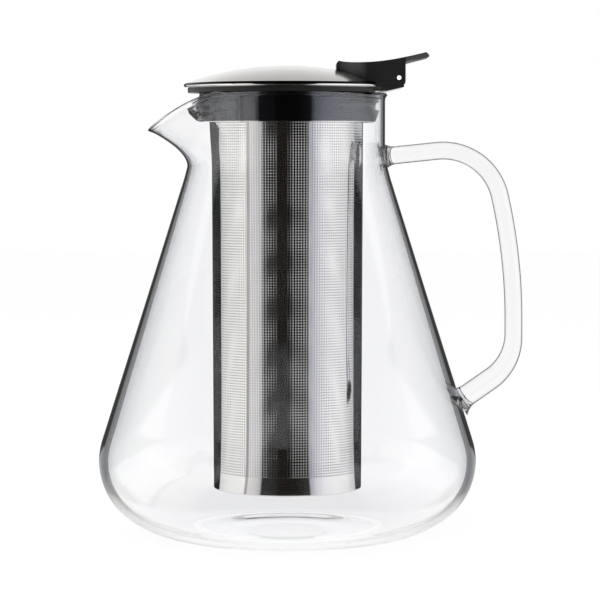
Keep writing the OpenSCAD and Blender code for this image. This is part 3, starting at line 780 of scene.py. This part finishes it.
def dome_steel(board):
    """Satin steel, polished on the rolled edge, with a painted shade line along the top of that edge."""
    x, y, z = split(board, place(board))
    away = x * x + y * y
    edge = away > (POLISH_R * MM) ** 2
    # Painted shade: a dark line where the cap meets the rolled edge
    painted_shade_line = (z > SHADE_LINE_Z * MM) * (away > (SHADE_LINE_R * MM) ** 2)
    return steel(board, (0.80, 0.785, 0.77), (0.86, 0.85, 0.84), 0.16 - edge * 0.18, (1.0, 1.0, 1.0),
                 0.02, painted_shade_line)


def collar_steel(board):
    """Polished steel with faint level streaks."""
    return steel(board, (0.78, 0.78, 0.78), (0.84, 0.84, 0.84), 0.0, (4.0, 4.0, 80.0), 0.01)


def plain_steel(board):
    """Satin steel with level streaks."""
    return steel(board, (0.70, 0.70, 0.70), (0.80, 0.80, 0.80), 0.16, (4.0, 4.0, 80.0))


def silicone(board):
    """Smoky silicone, clear enough to show the steel behind it."""
    where = place(board)
    cloud = noise(board, where, 30.0)
    body = board.node("ShaderNodeBsdfPrincipled", None, {
        "Base Color": tint(board, cloud, (0.29, 0.30, 0.325), (0.32, 0.33, 0.355)),
        "Roughness": cloud * 0.01, "IOR": 1.12, "Transmission Weight": 1.0})
    clear = board.node("ShaderNodeBsdfTransparent", None, {"Color": (0.5, 0.51, 0.54, 1)})
    path = board.node("ShaderNodeLightPath").pick("Is Shadow Ray")
    return board.node("ShaderNodeMixShader", None, {0: path, 1: body, 2: clear})


def black_rubber(board):
    """Black rubber with a fine matt grain."""
    where = place(board)
    grain = noise(board, where, 900.0)
    return board.node("ShaderNodeBsdfPrincipled", None, {
        "Base Color": tint(board, grain, (0.006, 0.006, 0.006), (0.012, 0.012, 0.012)),
        "Roughness": 0.30 + grain * 0.1, "Specular IOR Level": 0.3,
        "Normal": bump(board, grain, 0.1, 0.0002)})


def black_plastic(board):
    """Satin black moulded plastic with a fine spark-eroded grain."""
    where = place(board)
    grain = noise(board, where, 1400.0, 2.0)
    cloud = noise(board, where, 60.0)
    return board.node("ShaderNodeBsdfPrincipled", None, {
        "Base Color": tint(board, cloud, (0.006, 0.006, 0.006), (0.011, 0.011, 0.011)),
        "Roughness": 0.30 + cloud * 0.1, "Specular IOR Level": 0.35,
        "Normal": bump(board, grain, 0.15, 0.0002)})


# Radius of the painted highlight in the middle of the pin's ends
PIN_HIGHLIGHT_R = 1.0


def pin_painted_highlight(board):
    """The pin's ends: a pale painted highlight in the middle, and painted shade past a radius about the
    pin's axis.
    """
    where = place(board)
    grain = noise(board, where, 700.0)
    x, _, z = split(board, where)
    x, z = x - PIN_X * MM, z - PIN_Z * MM
    # Painted highlight in the middle, painted shade past its radius
    pale = tint(board, grain, (0.90, 0.90, 0.90), (0.97, 0.97, 0.97))
    dark = x * x + z * z > (PIN_HIGHLIGHT_R * MM) ** 2
    return board.node("ShaderNodeBsdfPrincipled", None, {
        "Base Color": blended(board, dark, pale, (0.01, 0.01, 0.01, 1)), "Roughness": 0.3 + grain * 0.1})


# Pieces

# Painted shade: how the jug's wall and the rod are painted darker from seen square on, 0, to seen edge on, 1
WALL_SHADE_STOPS = [(0.0, 1.0), (0.60, 1.0), (0.685, 0.85), (0.695, (0.06, 0.057, 0.055, 1)),
              (0.735, (0.04, 0.038, 0.036, 1)), (0.743, (0.0035, 0.0028, 0.0026, 1)),
              (1.0, (0.002, 0.0016, 0.0014, 1))]
ROD_SHADE_STOPS = [(0.0, 1.0), (0.38, 0.97), (0.47, 0.7), (0.56, 0.2), (0.68, 0.03), (1.0, 0.01)]
# Levels between which the wall's painted shade sets in
FADE_LOW_Z = 5.0
FADE_HIGH_Z = 22.0

GLASS = material("blown_glass", clear_glass(WALL_SHADE_STOPS, FADE_LOW_Z, FADE_HIGH_Z, skin=True))
ROD_GLASS = material("rod_glass", clear_glass(ROD_SHADE_STOPS, 0.0, 1.0))
SHEET = material("perforated_sheet", sheet_steel)
DOME = material("lid_steel", dome_steel)
STEEL = material("stainless_steel", plain_steel)
COLLAR_STEEL = material("collar_steel", collar_steel)
SILICONE = material("smoky_silicone", silicone)
RUBBER = material("black_gasket", black_rubber)
PLASTIC = material("black_moulding", black_plastic)
PIN = material("pin_ends", pin_painted_highlight)


def dress(thing, finish, body, slot, *nodes):
    """Gives a new piece its finish and the body it rides on, and hides the nodes it stands for. Its slot is
    not used.
    """
    thing.data.materials.append(finish)
    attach(thing, body)
    if nodes:
        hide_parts(*nodes)


dress(make_jug(), GLASS, "jug", "clear_glass", "glass_body")
dress(make_handle(), ROD_GLASS, "jug", "clear_glass", "glass_handle")
for sheet in make_basket_wall():
    dress(sheet, SHEET, "infuser", "perforated_steel", "basket_wall")
dress(make_cup(), SHEET, "infuser", "perforated_steel", "basket_cup")
dress(make_seal(), SILICONE, "infuser", "smoky_silicone", "neck_seal")
dress(make_dome(), DOME, "lid", "polished_steel", "lid_dome")
dress(make_lever(), PLASTIC, "lid", "black_plastic", "lid_lever")

CARRIED_OVER = {"collar": COLLAR_STEEL, "hinge_bracket": STEEL, "bracket_rivets": STEEL, "hinge_pin": PIN,
                "lid_pan": STEEL, "lever_screws": STEEL, "rim_gasket": RUBBER}
for node, finish in CARRIED_OVER.items():
    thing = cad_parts[node]
    thing.data.materials.clear()
    thing.data.materials.append(finish)


# Stage

# Half the floor's side, in metres, and the radii between which its mirror image passes from white
# to the surroundings
FLOOR_HALF_M = 3.0
NEAR_M = 0.085
FAR_M = 0.10
# Share of the floor that glows white, while the rest takes the lamps' light and the shadow
FLOOR_WHITE = 0.9

# Surroundings as mirrored by metal and glass, by the angle from the front in degrees, left below zero
SURROUNDINGS = [
    (-180, (1.0, 1.0, 1.0)), (-170, (1.0, 1.0, 1.0)),
    (-167, (0.08, 0.08, 0.08)), (-154, (0.10, 0.10, 0.10)),
    (-151, (0.68, 0.70, 0.72)), (-123, (0.68, 0.70, 0.75)),
    (-120, (0.85, 0.88, 0.86)), (-100, (1.12, 1.12, 1.08)), (-64, (1.20, 1.18, 1.14)),
    (-62.5, (0.42, 0.41, 0.41)), (-60, (0.42, 0.41, 0.41)), (-58.5, (0.95, 0.92, 0.92)),
    (-45, (0.80, 0.77, 0.76)), (-38.5, (0.58, 0.56, 0.56)), (-36.5, (0.04, 0.04, 0.04)),
    (-16, (0.03, 0.03, 0.03)), (-13, (0.014, 0.012, 0.010)), (12, (0.014, 0.012, 0.010)),
    (18, (0.02, 0.019, 0.018)), (31, (0.05, 0.048, 0.046)), (33, (0.52, 0.53, 0.58)),
    (43, (0.85, 0.86, 0.92)), (56, (1.08, 1.08, 1.12)),
    (75, (1.18, 1.18, 1.18)), (98, (1.08, 1.08, 1.08)),
    (112, (0.80, 0.80, 0.82)), (121, (0.68, 0.70, 0.75)), (151, (0.68, 0.70, 0.72)),
    (154, (0.10, 0.10, 0.10)), (167, (0.08, 0.08, 0.08)), (170, (1.0, 1.0, 1.0)), (180, (1.0, 1.0, 1.0))]
# Past this angle, steel that stands behind glass mirrors black below the horizon
SIDE_ANGLE = math.radians(121)
DARK = (0.02, 0.02, 0.022, 1)
# A ray has passed more skins of glass than this when it went in through the wall and out again
SKINS = 2.5
# A mirrored ray's rise: under the first it looks down, and from the second to the third it passes
# from the surroundings to the ceiling. At the back the ceiling goes by the rise, 0 to 1
HORIZON = 0.002
LOW_UP = 0.25
HIGH_UP = 0.4
CEILING = [(0.0, 1.0), (0.15, 0.98), (0.4, 0.75), (0.66, (0.46, 0.45, 0.44, 1)), (0.72, 0.4),
           (0.78, 0.02), (1.0, 0.02)]


def mirrored_zone(board, x, y, below):
    """The surroundings in one direction. Past the side angle the steel inside the glass sees black below."""
    inside = board.node("ShaderNodeLightPath").pick("Transmission Depth") > SKINS
    angle = board.node("ShaderNodeMath", {"operation": "ARCTAN2"}, [x, y * -1.0])
    stops = [((a + 180) / 360, (*colour, 1)) for a, colour in SURROUNDINGS]
    zones = board.node("ShaderNodeValToRGB", {"stops": stops}, [angle / TAU + 0.5])
    aside = board.node("ShaderNodeMath", {"operation": "ABSOLUTE"}, [angle]) > SIDE_ANGLE
    return blended(board, aside * below * inside, zones, DARK)


def is_mirrored(board):
    """1 for a ray that metal or glass has mirrored, else 0."""
    return board.node("ShaderNodeLightPath").pick("Glossy Depth") > 0.5


def floor_finish(board):
    """White floor that keeps a soft share of the object's shadow. Mirrored, it is white only close by."""
    where = place(board)
    cloud = noise(board, where, 3.0)
    plain = board.node("ShaderNodeBsdfDiffuse", None, {
        0: tint(board, cloud, (0.86, 0.86, 0.86), (0.9, 0.9, 0.9))})
    x, y, _ = split(board, where)
    away = board.node("ShaderNodeVectorMath", {"operation": "LENGTH"}, [where]).pick("Value")
    far = board.node("ShaderNodeMapRange", None, {"Value": away, "From Min": NEAR_M, "From Max": FAR_M})
    mirror = is_mirrored(board)
    colour = blended(board, far * mirror, (1, 1, 1, 1), mirrored_zone(board, x, y, 1.0))
    glow = board.node("ShaderNodeEmission", None, {"Color": colour, "Strength": 1.0})
    both = board.node("ShaderNodeMixShader", None, {0: FLOOR_WHITE, 1: plain, 2: glow})
    mirrored = board.node("ShaderNodeMixShader", None, {0: mirror, 1: both, 2: glow})
    diffuse = board.node("ShaderNodeLightPath").pick("Is Diffuse Ray")
    return board.node("ShaderNodeMixShader", None, {0: diffuse, 1: mirrored, 2: plain})


def make_floor():
    """The floor: one square about the origin."""
    h = FLOOR_HALF_M / MM
    points = [(-h, -h, 0), (h, -h, 0), (h, h, 0), (-h, h, 0)]
    thing = mesh_object("floor", points, [np.array([[0, 1, 2, 3]])])
    thing.data.materials.append(material("pale_floor", floor_finish))


def make_world():
    """White surroundings, where metal and the glass wall's surface mirror a studio with dark cards.

    A mirrored ray low down looks up the zones by its angle. Higher up it sees a ceiling, which is
    white at the back's horizon, greyer above it, and black overhead and towards the front.
    """
    world = bpy.data.worlds.new("studio")
    bpy.context.scene.world = world
    board = Board(world)
    x, y, up = split(board, board.node("ShaderNodeTexCoord").pick("Generated"))
    zones = mirrored_zone(board, x, y, up < HORIZON)
    ceiling = board.node("ShaderNodeValToRGB", {"stops": CEILING}, [up * (y > 0.0) + (y < 0.0)])
    high = board.node("ShaderNodeMapRange", None, {"Value": up, "From Min": LOW_UP, "From Max": HIGH_UP})
    colour = blended(board, is_mirrored(board), (1, 1, 1, 1), blended(board, high, zones, ceiling))
    shade = board.node("ShaderNodeBackground", None, {"Color": colour, "Strength": 1.0})
    board.node("ShaderNodeOutputWorld", None, {"Surface": shade})


# Where the lamps point, and their side, in millimetres
LAMP_AIM = (0, 0, 100)
LAMP_SIZE = 700


def make_lamp(name, place_mm, watts):
    """A square soft lamp that is itself not seen or mirrored."""
    data = bpy.data.lights.new(name, "AREA")
    data.size = LAMP_SIZE * MM
    data.energy = watts
    lamp = bpy.data.objects.new(name, data)
    bpy.context.scene.collection.objects.link(lamp)
    lamp.location = Vector(place_mm) * MM
    lamp.rotation_euler = (Vector(LAMP_AIM) - Vector(place_mm)).to_track_quat("-Z", "Y").to_euler()
    lamp.visible_glossy = False
    lamp.visible_transmission = False
    lamp.visible_camera = False


# The photograph is 600 pixels wide. Its camera, in pixels and millimetres
PIXELS = 600
FOCAL_PX = 2509.5
AXIS_PX = 287.4
HORIZON_PX = 149.4
CAMERA_Y = -1092.2
CAMERA_Z = 168.6


def make_camera():
    """Camera at the photograph's distance and height, tilted down so that the jug is framed as there."""
    data = bpy.data.cameras.new("camera")
    data.sensor_width = 36.0
    data.lens = FOCAL_PX / PIXELS * data.sensor_width
    data.clip_start = 0.05
    camera = bpy.data.objects.new("camera", data)
    bpy.context.scene.collection.objects.link(camera)
    bpy.context.scene.camera = camera
    across = (PIXELS / 2 - AXIS_PX) * -CAMERA_Y / FOCAL_PX
    tilt = math.atan((PIXELS / 2 - HORIZON_PX) / FOCAL_PX)
    camera.location = (across * MM, CAMERA_Y * MM, CAMERA_Z * MM)
    camera.rotation_euler = (math.pi / 2 - tilt, 0, 0)


make_floor()
make_world()
make_lamp("key", (-700, -500, 900), 9)
make_lamp("fill", (900, -300, 600), 5)
make_camera()
bpy.context.scene.view_settings.view_transform = "Standard"
